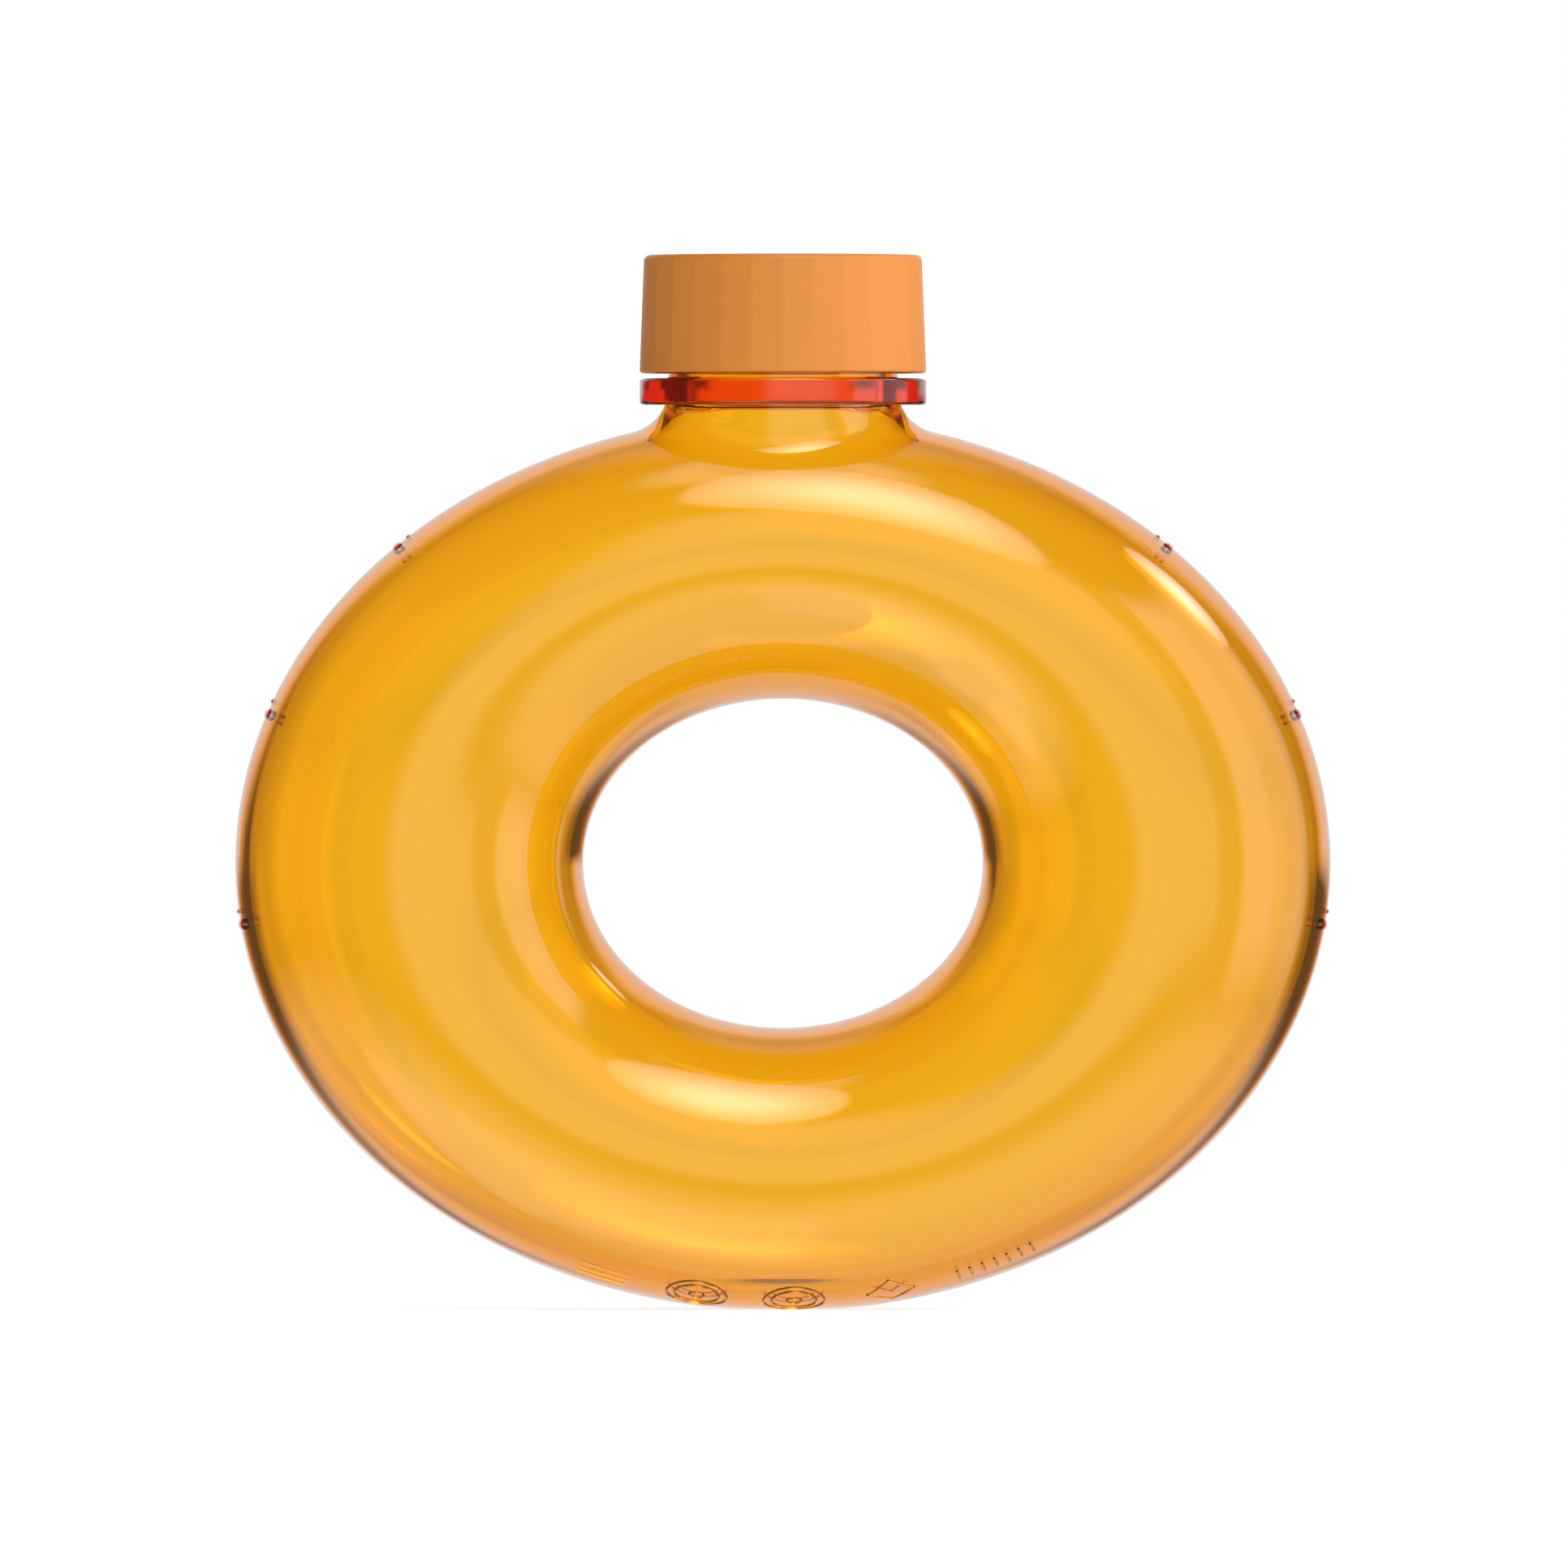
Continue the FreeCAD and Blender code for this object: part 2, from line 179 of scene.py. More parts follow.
def shoulder(phi, inset, neck_r, fillet, top_z):
    """Rows of points from the ring's skin up the fillet to the neck at top_z, one point for each
    direction phi, and the ring's angles where the fillet starts."""
    low = np.full_like(phi, neck_r)
    high = np.full_like(phi, neck_r + fillet)
    small = 0.01

    def slope(r):
        return (top_height(r + small, phi, inset) - top_height(r - small, phi, inset)) / (2 * small)

    for _ in range(HALVINGS):
        middle = (low + high) / 2
        lean = -slope(middle) / np.hypot(1, slope(middle))
        outside = middle + fillet * lean > neck_r + fillet
        high = np.where(outside, middle, high)
        low = np.where(outside, low, middle)
    start_r = (low + high) / 2
    lean = -slope(start_r) / np.hypot(1, slope(start_r))
    rise = 1 / np.hypot(1, slope(start_r))
    centre_z = top_height(start_r, phi, inset) + fillet * rise
    first = np.arctan2(rise, lean)
    last = np.arcsin(np.clip((centre_z - top_z) / fillet, 0, 1))
    arc = fillet * (first - last)
    line = np.maximum(top_z - centre_z, 0)
    rows = []
    for k in range(FILLET_ROWS + 1):
        along = (arc + line) * k / FILLET_ROWS
        angle = first - np.minimum(along, arc) / fillet
        r = neck_r + fillet - fillet * np.cos(angle)
        z = centre_z - fillet * np.sin(angle) + np.maximum(along - arc, 0)
        rows.append(np.stack([r * np.cos(phi), r * np.sin(phi), z], axis=-1))
    angles = top_angles(start_r * np.cos(phi), start_r * np.sin(phi), inset)
    return rows, angles


def thread_lift(phi, z):
    """How far the neck's thread stands out of its wall in each direction phi, at height z."""
    lift = np.zeros_like(phi)
    for start in range(THREAD_STARTS):
        along = np.mod(phi - 2 * math.pi * start / THREAD_STARTS, 2 * math.pi)
        last = 2 * math.pi * THREAD_TURN
        off = np.abs(z - THREAD_START_Z - THREAD_LEAD * along / (2 * math.pi))
        ridge = np.clip((THREAD_BASE / 2 - off) / ((THREAD_BASE - THREAD_CREST) / 2), 0, 1)
        taper = np.clip(along / THREAD_END_TAPER, 0, 1) * np.clip((last - along) / THREAD_END_TAPER, 0, 1)
        lift = np.maximum(lift, THREAD_HEIGHT * ridge * taper)
    return lift


def finish_profile():
    """(radius, height, threaded) rows of the neck, from the neck ring's underside to the bore's edge."""
    ring_middle_r = NECK_RING_R - NECK_RING_ROUND
    below = [(NECK_RING_R - UNDERSIDE_ROW, NECK_RING_BOTTOM)]
    below += arc(ring_middle_r, NECK_RING_BOTTOM + NECK_RING_ROUND, NECK_RING_ROUND, -90, 0, steps=5)
    below += arc(ring_middle_r, NECK_RING_TOP - NECK_RING_ROUND, NECK_RING_ROUND, 0, 90, steps=5)
    below += [
        (NECK_R + RING_CREASE, NECK_RING_TOP),
        (NECK_R, NECK_RING_TOP + RING_CREASE),
        (NECK_R, STEP_Z),
        (THREAD_ROOT_R, STEP_Z + NECK_R - THREAD_ROOT_R),
    ]
    above = [
        (THREAD_ROOT_R - RIM_SOFT, NECK_TOP - RIM_SOFT),
        (THREAD_ROOT_R - RIM_ROUND, NECK_TOP),
        (BORE_R + BORE_EDGE_SOFT, NECK_TOP),
        (BORE_R, NECK_TOP - BORE_EDGE_SOFT),
    ]
    rows = [(r, z, False) for r, z in below]
    threaded_heights = np.arange(STEP_Z + THREAD_ROOT_START, NECK_TOP - RIM_ROUND, THREAD_ROW)
    rows += [(THREAD_ROOT_R, z, True) for z in threaded_heights]
    rows += [(r, z, False) for r, z in above]
    return rows


def patch_loop():
    """Grid places round the edge of the neck's patch, in the order of their direction."""
    top = STEPS_ROUND_RING // 4
    a, b = PATCH_RING_STEPS, PATCH_TUBE_STEPS
    loop = [(top - a, j) for j in range(0, b)]
    loop += [(i, b) for i in range(top - a, top + a)]
    loop += [(top + a, j) for j in range(b, -b, -1)]
    loop += [(i, -b) for i in range(top + a, top - a, -1)]
    loop += [(top - a, j) for j in range(-b, 0)]
    return loop


def bottle_mesh():
    """The bottle's outer skin and neck, and its inner skin and bore, joined into one closed wall.
    Each skin is a grid round the ring with a patch left out at the top, where rows of points lead
    from the grid to the fillet and up the neck."""
    verts = []
    faces = []
    loop = patch_loop()
    count = len(loop)
    ring_step = 2 * math.pi / STEPS_ROUND_RING
    tube_step = 2 * math.pi / STEPS_ROUND_TUBE
    edge_ring = np.array([i * ring_step for i, j in loop])
    edge_tube = np.array([j * tube_step for i, j in loop])
    edge = ring_points(edge_ring, edge_tube, 0)
    phi = np.arctan2(edge[:, 1], edge[:, 0])
    top = STEPS_ROUND_RING // 4

    def add_row(points):
        first = len(verts)
        verts.extend(points)
        return list(range(first, first + len(points)))

    def join_rows(lower, upper):
        for k in range(count):
            n = (k + 1) % count
            faces.append((lower[k], lower[n], upper[n], upper[k]))

    def skin(inset, neck_r, fillet, top_z):
        """One skin of the ring, outer or inner, up to its neck. Returns its last row."""
        index = {}
        for i in range(STEPS_ROUND_RING):
            for j in range(STEPS_ROUND_TUBE):
                side = j if j <= STEPS_ROUND_TUBE // 2 else j - STEPS_ROUND_TUBE
                if abs(i - top) < PATCH_RING_STEPS and abs(side) < PATCH_TUBE_STEPS:
                    continue
                index[i, j] = len(index)
        keys = np.array(list(index))
        first = len(verts)
        verts.extend(ring_points(keys[:, 0] * ring_step, keys[:, 1] * tube_step, inset))
        for (i, j) in index:
            corners = [
                (i, j),
                ((i + 1) % STEPS_ROUND_RING, j),
                ((i + 1) % STEPS_ROUND_RING, (j + 1) % STEPS_ROUND_TUBE),
                (i, (j + 1) % STEPS_ROUND_TUBE),
            ]
            side = j if j < STEPS_ROUND_TUBE // 2 else j - STEPS_ROUND_TUBE
            in_ring = top - PATCH_RING_STEPS <= i < top + PATCH_RING_STEPS
            in_tube = -PATCH_TUBE_STEPS <= side < PATCH_TUBE_STEPS
            if in_ring and in_tube:
                continue
            faces.append(tuple(first + index[c] for c in corners))
        rows, (start_ring, start_tube) = shoulder(phi, inset, neck_r, fillet, top_z)
        last = [first + index[i, j % STEPS_ROUND_TUBE] for i, j in loop]
        for k in range(1, PATCH_ROWS):
            t = k / PATCH_ROWS
            mixed_ring = edge_ring * (1 - t) + start_ring * t
            mixed_tube = edge_tube * (1 - t) + start_tube * t
            row = add_row(ring_points(mixed_ring, mixed_tube, inset))
            join_rows(last, row)
            last = row
        for points in rows:
            row = add_row(points)
            join_rows(last, row)
            last = row
        return last

    outer = skin(0, NECK_R, SHOULDER_FILLET, NECK_RING_BOTTOM)
    for r, z, threaded in finish_profile():
        radius = r + (thread_lift(phi, z) if threaded else 0)
        row = add_row(ring_of_points(radius, phi, z))
        join_rows(outer, row)
        outer = row
    inner = skin(WALL, NECK_R - WALL, SHOULDER_FILLET + WALL, THICK_NECK_BOTTOM)
    for r, z in [
        (BORE_R + BORE_CORNER_ROUND, THICK_NECK_BOTTOM),
        (BORE_R, THICK_NECK_BOTTOM + BORE_CORNER_ROUND),
        (BORE_R, NECK_TOP - 2 * BORE_CORNER_ROUND),
    ]:
        row = add_row(ring_of_points(r, phi, z))
        join_rows(inner, row)
        inner = row
    join_rows(inner, outer)
    return verts, faces


# ------------------------------------------------------------------ the cap


def cap_mesh():
    """The cap's outer shell: flat facets with softened corners, round edges, and a hollow."""
    facet = 2 * math.pi / CAP_FACETS
    phi = np.array([(k + a) * facet for k in range(CAP_FACETS) for a in FACET_COLUMNS])
    from_middle = np.mod(phi, facet) - facet / 2
    angles = phi - math.pi / 2
    count = len(phi)

    def facet_radius(z):
        part = (z - CAP_LOW.z) / (CAP_HIGH.z - CAP_LOW.z)
        corner_r = CAP_R_BOTTOM + (CAP_R_TOP - CAP_R_BOTTOM) * part
        flat = corner_r * math.cos(facet / 2) / np.cos(from_middle)
        return np.minimum(flat, corner_r - CAP_CORNER_SOFT)

    low_edge_z = CAP_LOW.z + CAP_BOTTOM_ROUND
    outside = arc(CAP_R_BOTTOM - CAP_BOTTOM_ROUND, low_edge_z, CAP_BOTTOM_ROUND, -90, 0, steps=14)
    outside += arc(CAP_R_TOP - CAP_TOP_ROUND, CAP_HIGH.z - CAP_TOP_ROUND, CAP_TOP_ROUND, 0, 90, steps=20)
    outside += [(r, CAP_HIGH.z) for r in CAP_TOP_ROWS]
    ceiling = CAP_HIGH.z - CAP_TOP_THICK
    inside = [(r, ceiling) for r in reversed(CAP_TOP_ROWS[1:])]
    inside += arc(CAP_BORE_R - CAP_BORE_ROUND, ceiling - CAP_BORE_ROUND, CAP_BORE_ROUND, 90, 0, steps=14)
    open_half = math.degrees(math.acos((CAP_BORE_R - SNAP_GROOVE_R) / SNAP_GROOVE_ROUND))
    inside += arc(SNAP_GROOVE_R, SNAP_GROOVE_Z, SNAP_GROOVE_ROUND, open_half, -open_half, steps=16)
    mouth_edge_z = CAP_LOW.z + CAP_EDGE_ROUND
    inside += arc(CAP_BORE_R + CAP_EDGE_ROUND, mouth_edge_z, CAP_EDGE_ROUND, 180, 270, steps=10)
    verts = []
    faces = []

    def join_rows(lower, upper):
        for k in range(count):
            n = (k + 1) % count
            faces.append((lower[k], lower[n], upper[n], upper[k]))

    def close_row(row, z):
        """A fan of triangles from a row to the axis."""
        middle = len(verts)
        verts.append((0.0, 0.0, z))
        faces.extend((row[k], row[(k + 1) % count], middle) for k in range(count))

    rows = []
    for number, (r, z) in enumerate(outside + inside):
        radius = np.full_like(phi, r)
        if number < len(outside):
            radius = np.minimum(radius, facet_radius(z))
        row = list(range(len(verts), len(verts) + count))
        verts.extend(ring_of_points(radius, angles, z))
        if number == len(outside):
            close_row(rows[-1], CAP_HIGH.z)
            close_row(row, ceiling)
        elif rows:
            join_rows(rows[-1], row)
        rows.append(row)
    join_rows(rows[-1], rows[0])
    return verts, faces


# ------------------------------------------------------------------ raised marks

MARK_SUNK = 0.25  # how far a raised mark starts inside the wall
MARK_SLOPE_HEIGHT = 0.85  # the part of its height that a mark has halfway up its sloping sides
SIDE_BAR_LEVELS = (141, 110, 71)
SIDE_BAR_POINTS = 9
FRONT_MARK_DROP = 18  # from the tube's lowest line up its front to the middle of the front marks
FRONT_MARK_WIDTH = 0.5
FRONT_MARK_HEIGHT = 0.3
FOOT_REACH = 0.97  # the part of the ring's half width that turns a place across the front to an angle
DOT_STEPS = 40
STROKE_COUNT = 7
STROKE_GAP = 2.5


def raised_strip(ring_angles, tube_angles, width, height, closed=False):
    """A low raised bar that follows the ring's skin along a line of points on it. It starts a
    little inside the wall and has sloping sides."""
    points = ring_points(ring_angles, tube_angles, 0)
    out = ring_points(ring_angles, tube_angles, -MARK_SUNK)
    out -= ring_points(ring_angles, tube_angles, MARK_SUNK)
    out /= np.linalg.norm(out, axis=-1, keepdims=True)
    if closed:
        along = np.roll(points, -1, axis=0) - np.roll(points, 1, axis=0)
    else:
        along = np.gradient(points, axis=0)
    across = np.cross(out, along)
    across /= np.linalg.norm(across, axis=-1, keepdims=True)
    section = [
        (-width / 2, -MARK_SUNK),
        (-width / 2, 0),
        (-width / 4, height * MARK_SLOPE_HEIGHT),
        (0, height),
        (width / 4, height * MARK_SLOPE_HEIGHT),
        (width / 2, 0),
        (width / 2, -MARK_SUNK),
    ]
    verts = []
    faces = []
    for place, upwards, sideways in zip(points, out, across):
        verts.extend(place + sideways * aside + upwards * above for aside, above in section)
    size = len(section)
    count = len(points)
    for k in range(count if closed else count - 1):
        here = k * size
        there = (k + 1) % count * size
        for c in range(size):
            d = (c + 1) % size
            faces.append((here + c, here + d, there + d, there + c))
    if not closed:
        faces.append(tuple(range(size)))
        faces.append(tuple(range((count - 1) * size, count * size)))
    return verts, faces


def marks_mesh():
    """Plain raised marks: a long and a short level bar at three heights on both sides and, low on
    the front, three bars, two ringed dots, a diamond and a row of strokes. None is lettering."""
    verts = []
    faces = []
    mm_round_ring = 1 / RING_HALF_WIDTH
    mm_round_tube = 1 / RING_HALF_DEPTH

    def add(strip):
        first = len(verts)
        verts.extend(strip[0])
        faces.extend(tuple(first + c for c in face) for face in strip[1])

    def side_bar(level, side, shift, half_length, width, height):
        """A level bar on one side of the outline, shift millimetres above its level."""
        angle = math.asin((level - RING_CENTRE_Z) / RING_HALF_HEIGHT) + shift * mm_round_ring
        ring_angles = np.full(SIDE_BAR_POINTS, angle if side > 0 else math.pi - angle)
        tube_angles = np.linspace(-half_length, half_length, SIDE_BAR_POINTS) * mm_round_tube
        add(raised_strip(ring_angles, tube_angles, width, height))

    def front(x, points, closed=False):
        """A thin strip through points in millimetres about a place x across the foot's front."""
        places = np.array([x + dx for dx, dz in points])
        ring_angles = -math.pi / 2 + places / (RING_HALF_WIDTH * FOOT_REACH)
        tube_angles = np.array([-(FRONT_MARK_DROP + dz) for dx, dz in points]) * mm_round_tube
        add(raised_strip(ring_angles, tube_angles, FRONT_MARK_WIDTH, FRONT_MARK_HEIGHT, closed))

    for level in SIDE_BAR_LEVELS:
        for side in (1, -1):
            side_bar(level, side, shift=0.0, half_length=5.5, width=2.0, height=0.38)
            side_bar(level, side, shift=3.0, half_length=2.0, width=0.9, height=0.3)
    for dz in (-2.4, 0, 2.4):
        front(-34, [(dx, dz) for dx in np.linspace(-4.5, 4.5, 10)])
    turns = np.linspace(0, 2 * math.pi, DOT_STEPS, endpoint=False)
    for x in (-16, 2):
        for radius in (5.6, 4.1, 1.3):
            front(x, [(radius * math.cos(t), radius * math.sin(t)) for t in turns], closed=True)
    diamond = [(4.4, 0), (2.2, 2.4), (0, 4.8), (-2.2, 2.4), (-4.4, 0), (-2.2, -2.4), (0, -4.8), (2.2, -2.4)]
    front(20, diamond, closed=True)
    for k in range(STROKE_COUNT):
        front(33 + STROKE_GAP * k, [(0, dz) for dz in np.linspace(-2, 2, 4)])
    return verts, faces


# ------------------------------------------------------------------ materials

AMBER_DYE = (0.9962, 0.8335, 0.0)  # what the dye lets through
WALL_DENSITY = 905
MARKS_SHADE_DENSITY = 4200  # denser than the wall, so that the small marks read against the wall: painted shade for the dark lines that light bending at their raised edges makes
CAP_COLOUR = (0.605, 0.206, 0.0245)
FOAM_COLOUR = (0.8, 0.79, 0.76)
BLOTCH_CONTRAST = 0.04
ROUGHNESS_SPREAD = 0.07


def new_material(name):
    material = bpy.data.materials.new(name)
    material.use_nodes = True
    nodes = material.node_tree.nodes
    return material, nodes, material.node_tree.links, nodes["Principled BSDF"]


def noise(nodes, links, scale, detail):
    """A noise texture in object space. scale is in cycles for each metre."""
    texture = nodes.new("ShaderNodeTexNoise")
    texture.inputs["Scale"].default_value = scale
    texture.inputs["Detail"].default_value = detail
    coordinates = nodes.new("ShaderNodeTexCoord")
    links.new(coordinates.outputs["Object"], texture.inputs["Vector"])
    return texture.outputs["Fac"]


def ranged(nodes, links, value, low, high):
    node = nodes.new("ShaderNodeMapRange")
    node.inputs["To Min"].default_value = low
    node.inputs["To Max"].default_value = high
    links.new(value, node.inputs["Value"])
    return node.outputs["Result"]


def add_bump(nodes, links, shader, height, distance, strength):
    """Bump from a height texture. distance is in metres."""
    bump = nodes.new("ShaderNodeBump")
    bump.inputs["Distance"].default_value = distance
    bump.inputs["Strength"].default_value = strength
    links.new(height, bump.inputs["Height"])
    links.new(bump.outputs["Normal"], shader.inputs["Normal"])


def amber_plastic(name, density):
    """Clear amber plastic. Its colour comes only from how far light runs through the wall."""
    material, nodes, links, shader = new_material(name)
    shader.inputs["Base Color"].default_value = (1, 1, 1, 1)
    shader.inputs["Transmission Weight"].default_value = 1.0
    shader.inputs["IOR"].default_value = 1.5
    haze = noise(nodes, links, scale=60, detail=2)
    links.new(ranged(nodes, links, haze, 0.0, 0.03), shader.inputs["Roughness"])
    ripple = noise(nodes, links, scale=22, detail=1)
    add_bump(nodes, links, shader, ripple, distance=0.0004, strength=0.15)
    volume = nodes.new("ShaderNodeVolumeAbsorption")
    volume.inputs["Color"].default_value = (*AMBER_DYE, 1)
    volume.inputs["Density"].default_value = density
    links.new(volume.outputs["Volume"], nodes["Material Output"].inputs["Volume"])
    return material


def moulded_plastic(name, colour, roughness, grain, depth):
    """Opaque moulded plastic: slight flow marks in its colour, and the mould's fine grain."""
    material, nodes, links, shader = new_material(name)
    blotch = noise(nodes, links, scale=45, detail=3)
    mix = nodes.new("ShaderNodeMix")
    mix.data_type = "RGBA"
    mix.inputs["A"].default_value = (*[c * (1 - BLOTCH_CONTRAST) for c in colour], 1)
    mix.inputs["B"].default_value = (*[min(1, c * (1 + BLOTCH_CONTRAST)) for c in colour], 1)
    links.new(blotch, mix.inputs["Factor"])
    links.new(mix.outputs["Result"], shader.inputs["Base Color"])
    grit = noise(nodes, links, scale=grain, detail=4)
    rough = ranged(nodes, links, grit, roughness - ROUGHNESS_SPREAD, roughness + ROUGHNESS_SPREAD)
    links.new(rough, shader.inputs["Roughness"])
    add_bump(nodes, links, shader, grit, distance=depth, strength=0.35)
    return material


def set_material(obj, material):
    obj.data.materials.clear()
    obj.data.materials.append(material)


# ------------------------------------------------------------------ the object

bottle = mesh_object("bottle", *bottle_mesh())
set_material(bottle, amber_plastic("amber_plastic", WALL_DENSITY))
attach(bottle, "bottle")
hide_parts("bottle_shell")

marks = mesh_object("raised_marks", *marks_mesh())
# the marks get a denser amber than the wall, which paints the shade of their raised edges into their colour
set_material(marks, amber_plastic("amber_marks_painted_shade", MARKS_SHADE_DENSITY))
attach(marks, "bottle")

cap = mesh_object("cap", *cap_mesh(), sharp_degrees=5)
set_material(cap, moulded_plastic("cap_plastic", CAP_COLOUR, roughness=0.5, grain=2500, depth=0.00003))
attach(cap, "cap")
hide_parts("cap_shell")

cup_plastic = moulded_plastic("cup_plastic", CAP_COLOUR, roughness=0.35, grain=900, depth=0.00002)
set_material(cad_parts["dosing_cup"], cup_plastic)
spout_plastic = moulded_plastic("spout_plastic", CAP_COLOUR, roughness=0.3, grain=700, depth=0.00002)
set_material(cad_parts["pour_spout"], spout_plastic)
liner_foam = moulded_plastic("liner_foam", FOAM_COLOUR, roughness=0.8, grain=3000, depth=0.00008)
set_material(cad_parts["cap_liner"], liner_foam)

# ------------------------------------------------------------------ the studio

FLOOR_HALF = 3.0
FLOOR_GREY = 0.7
FLOOR_GLOW = 0.75
DIM_ROOM = 0.07  # the light where no panel is
BELOW_ALL = -120  # a height in degrees below every direction
SOFTBOX_END = 1.25  # where a softbox ends, in half widths from its middle
SOFTBOX_EDGE_GLOW = 0.3
CAMERA_LENS = 1000
CAMERA_SENSOR = 36
CAMERA_VIEW_WIDTH = 0.2898
CAMERA_MIDDLE_X = 0.0002
CAMERA_MIDDLE_Z = 0.097


def make_floor():
    """A pale floor with a little light of its own. Clear plastic neither shows nor mirrors it."""
    corners = [
        (-FLOOR_HALF, -FLOOR_HALF, 0),
        (FLOOR_HALF, -FLOOR_HALF, 0),
        (FLOOR_HALF, FLOOR_HALF, 0),
        (-FLOOR_HALF, FLOOR_HALF, 0),
    ]
    mesh = bpy.data.meshes.new("floor")
    mesh.from_pydata(corners, [], [(0, 1, 2, 3)])
    floor = bpy.data.objects.new("floor", mesh)
    bpy.context.scene.collection.objects.link(floor)
    material, _, _, shader = new_material("floor")
    shader.inputs["Base Color"].default_value = (FLOOR_GREY, FLOOR_GREY, FLOOR_GREY, 1)
    shader.inputs["Roughness"].default_value = 0.9
    shader.inputs["Emission Color"].default_value = (1, 1, 1, 1)
    shader.inputs["Emission Strength"].default_value = FLOOR_GLOW
    set_material(floor, material)
    floor.visible_transmission = False
    floor.visible_glossy = False


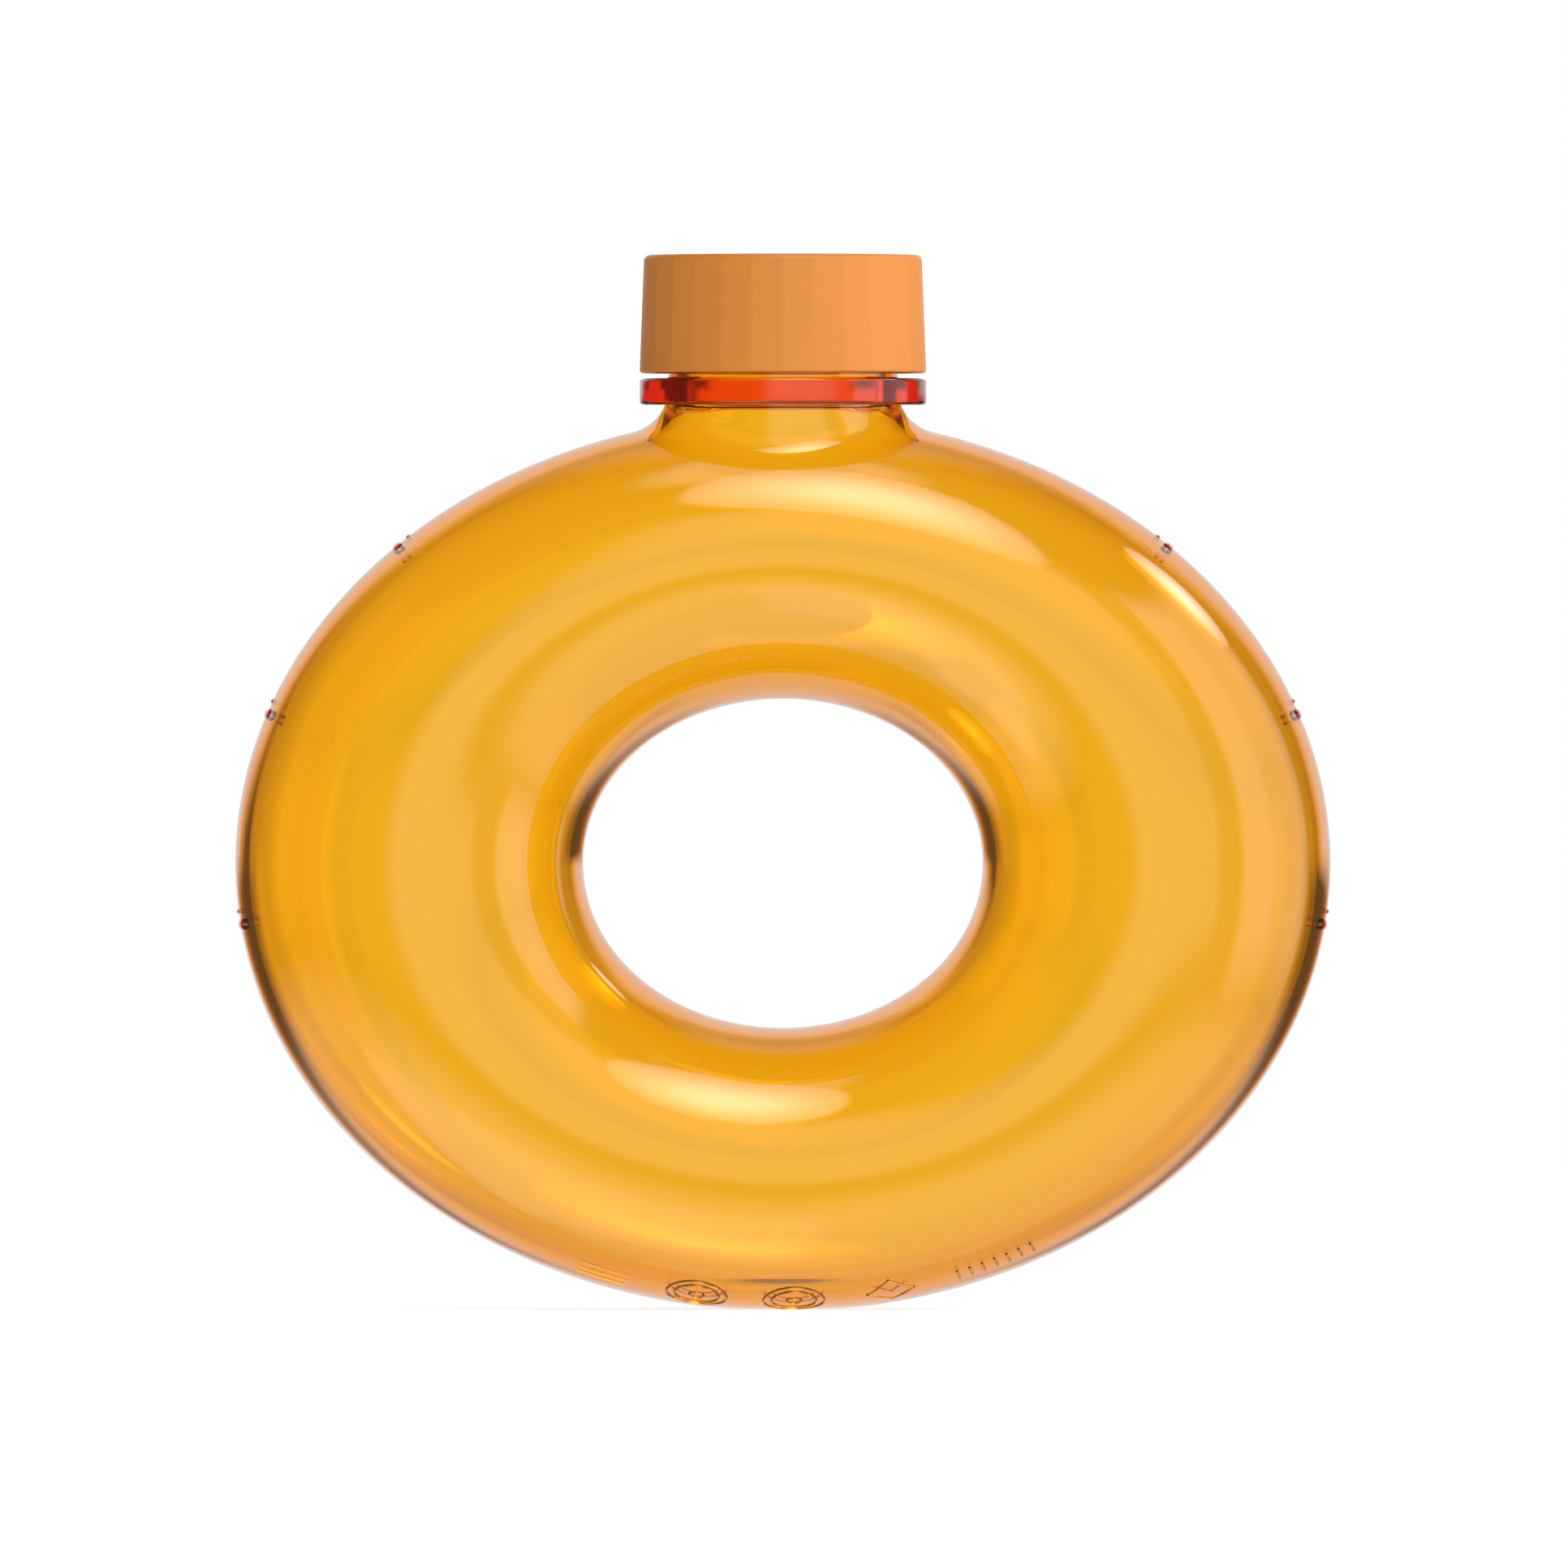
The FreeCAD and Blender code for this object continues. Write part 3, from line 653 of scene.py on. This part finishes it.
def make_world():
    """The studio as soft-edged panels of plain white light; where two overlap, the brighter shows.

    Turn angles run from the camera towards the right, from_back angles from behind the object
    towards the right, and heights up from level, all in degrees. The camera sees plain white.
    """
    world = bpy.data.worlds.new("studio")
    world.use_nodes = True
    nodes, links = world.node_tree.nodes, world.node_tree.links
    background = nodes["Background"]
    background.inputs["Color"].default_value = (1, 1, 1, 1)
    coordinates = nodes.new("ShaderNodeTexCoord")
    split = nodes.new("ShaderNodeSeparateXYZ")
    links.new(coordinates.outputs["Generated"], split.inputs["Vector"])

    def between(value, low, high, to_low, to_high):
        node = nodes.new("ShaderNodeMapRange")
        node.interpolation_type = "SMOOTHSTEP"
        node.inputs["From Min"].default_value = low
        node.inputs["From Max"].default_value = high
        node.inputs["To Min"].default_value = to_low
        node.inputs["To Max"].default_value = to_high
        links.new(value, node.inputs["Value"])
        return node.outputs["Result"]

    def combine(kind, a, b=None):
        node = nodes.new("ShaderNodeMath")
        node.operation = kind
        links.new(a, node.inputs[0])
        if b is not None:
            links.new(b, node.inputs[1])
        return node.outputs["Value"]

    def window(angle, low, high, soft, soft_high=None):
        """One where the angle lies between two limits, nought outside, with soft edges. soft is
        half the width of the lower edge, and of the upper one too unless soft_high is given."""
        soft_high = soft_high or soft
        rise = between(angle, math.radians(low - soft), math.radians(low + soft), 0.0, 1.0)
        fall = between(angle, math.radians(high - soft_high), math.radians(high + soft_high), 1.0, 0.0)
        return combine("MULTIPLY", rise, fall)

    def scaled(mask, brightness):
        node = nodes.new("ShaderNodeMath")
        node.operation = "MULTIPLY"
        links.new(mask, node.inputs[0])
        node.inputs[1].default_value = brightness
        return node.outputs["Value"]

    def panel(across, up, brightness):
        """A light where both of its windows are open."""
        return scaled(combine("MULTIPLY", across, up), brightness)

    def facing(direction):
        node = nodes.new("ShaderNodeVectorMath")
        node.operation = "DOT_PRODUCT"
        links.new(coordinates.outputs["Generated"], node.inputs[0])
        node.inputs[1].default_value = direction
        return node.outputs["Value"]

    def softbox(turn, height, half_width, half_height, brightness):
        """An oval light that fades evenly from its middle to its edge."""
        turn = math.radians(turn)
        height = math.radians(height)
        level = math.cos(height)
        middle = Vector((level * math.sin(turn), -level * math.cos(turn), math.sin(height)))
        side = Vector((math.cos(turn), math.sin(turn), 0))
        over = scaled(facing(side), 1 / math.sin(math.radians(half_width)))
        up = scaled(facing(middle.cross(side)), 1 / math.sin(math.radians(half_height)))
        away = combine("SQRT", combine("ADD", combine("MULTIPLY", over, over), combine("MULTIPLY", up, up)))
        glow = between(away, 0.1, SOFTBOX_END, brightness, brightness * SOFTBOX_EDGE_GLOW)
        edge = between(away, 1.1, SOFTBOX_END, 1.0, 0.0)
        front = between(facing(middle), 0.0, 0.2, 0.0, 1.0)
        return combine("MULTIPLY", combine("MULTIPLY", glow, edge), front)

    x, y = split.outputs["X"], split.outputs["Y"]
    turn = combine("ARCTAN2", x, scaled(y, -1.0))
    from_back = combine("ARCTAN2", x, y)
    height = combine("ARCSINE", split.outputs["Z"])
    wall = window(height, -10.5, 46, 6, 4)
    side_wall = window(height, -22, 46, 14, 4)
    path = nodes.new("ShaderNodeLightPath")
    through_plastic = path.outputs["Is Transmission Ray"]
    seen_through = combine("MULTIPLY", through_plastic, window(turn, -112, 0, 5))
    # Out here the ray depth is one more than the steps that led to it, so what is left without the
    # transmissions is one for a ray that was never mirrored, and two for one mirrored once.
    other_steps = combine("SUBTRACT", path.outputs["Ray Depth"], path.outputs["Transmission Depth"])
    unmirrored = combine("MULTIPLY", through_plastic, between(other_steps, 1.1, 1.9, 1.0, 0.0))
    seen_straight = combine("MULTIPLY", unmirrored, window(turn, -125, 125, 10))
    lights = [
        # the walls in front and on the right
        panel(window(turn, -13.5, 44, 8, 5), wall, 1.2),
        panel(window(turn, 30, 70, 5), side_wall, 0.4),
        panel(window(turn, 59, 87, 4), side_wall, 1.95),
        panel(window(turn, 80, 120, 4), side_wall, 1.3),
        # the backdrop, with a narrow foot
        panel(window(from_back, -34, 38, 9), window(height, 4, 38, 6), 0.9),
        panel(window(from_back, -18, 16, 6), window(height, -14, 16, 5), 0.9),
        panel(window(from_back, -27, 38, 7), window(height, -1, 12, 2, 4), 0.9),
        panel(window(from_back, -9, 9, 5), window(height, -45, 5, 5), 0.85),
        # what only light through the plastic sees: a left wall, a bright room, and a faint fill
        panel(seen_through, wall, 0.9),
        panel(seen_straight, window(height, BELOW_ALL, 60, 5), 0.95),
        scaled(through_plastic, 0.15),
        # light from below
        panel(window(turn, -70, 100, 25), window(height, BELOW_ALL, -22, 10), 1.4),
        panel(window(turn, -70, 6, 6), window(height, -60, -28, 5), 2.0),
        scaled(window(height, BELOW_ALL, -19, 8), 0.85),
        # light from above
        panel(window(from_back, -28, 28, 12), window(height, 38, 100, 8), 0.45),
        scaled(window(height, 76, 120, 4), 1.5),
        softbox(19, 63.5, 15, 20, 8.0),
        softbox(122, 40, 7.5, 7, 7.5),
    ]
    dim = nodes.new("ShaderNodeValue")
    dim.outputs["Value"].default_value = DIM_ROOM
    level = dim.outputs["Value"]
    for light in lights:
        level = combine("MAXIMUM", level, light)
    mix = nodes.new("ShaderNodeMix")
    mix.data_type = "FLOAT"
    links.new(path.outputs["Is Camera Ray"], mix.inputs["Factor"])
    links.new(level, mix.inputs["A"])
    mix.inputs["B"].default_value = 1.0
    links.new(mix.outputs["Result"], background.inputs["Strength"])
    bpy.context.scene.world = world


def make_camera():
    """Straight on from the front and far away, as the photograph was taken."""
    camera = bpy.data.cameras.new("camera")
    camera.lens = CAMERA_LENS
    camera.sensor_width = CAMERA_SENSOR
    distance = CAMERA_VIEW_WIDTH * CAMERA_LENS / CAMERA_SENSOR
    camera.clip_end = distance * 4
    obj = bpy.data.objects.new("camera", camera)
    bpy.context.scene.collection.objects.link(obj)
    obj.location = (CAMERA_MIDDLE_X, -distance, CAMERA_MIDDLE_Z)
    obj.rotation_euler = (math.pi / 2, 0, 0)
    bpy.context.scene.camera = obj


def side_fill():
    """A plain softbox on the right for the opaque plastic; clear plastic doesn't mirror it."""
    light = bpy.data.lights.new("side_fill", "AREA")
    light.size = 0.6
    light.energy = 2.7
    obj = bpy.data.objects.new("side_fill", light)
    bpy.context.scene.collection.objects.link(obj)
    object_middle = Vector((0, 0, 0.1))
    away = Vector((0.98, 0.12, 0.15)).normalized()
    obj.location = object_middle + away
    obj.rotation_euler = away.to_track_quat("Z", "Y").to_euler()
    obj.visible_glossy = False
    obj.visible_transmission = False


make_floor()
side_fill()
make_world()
make_camera()
bpy.context.scene.view_settings.view_transform = "Standard"

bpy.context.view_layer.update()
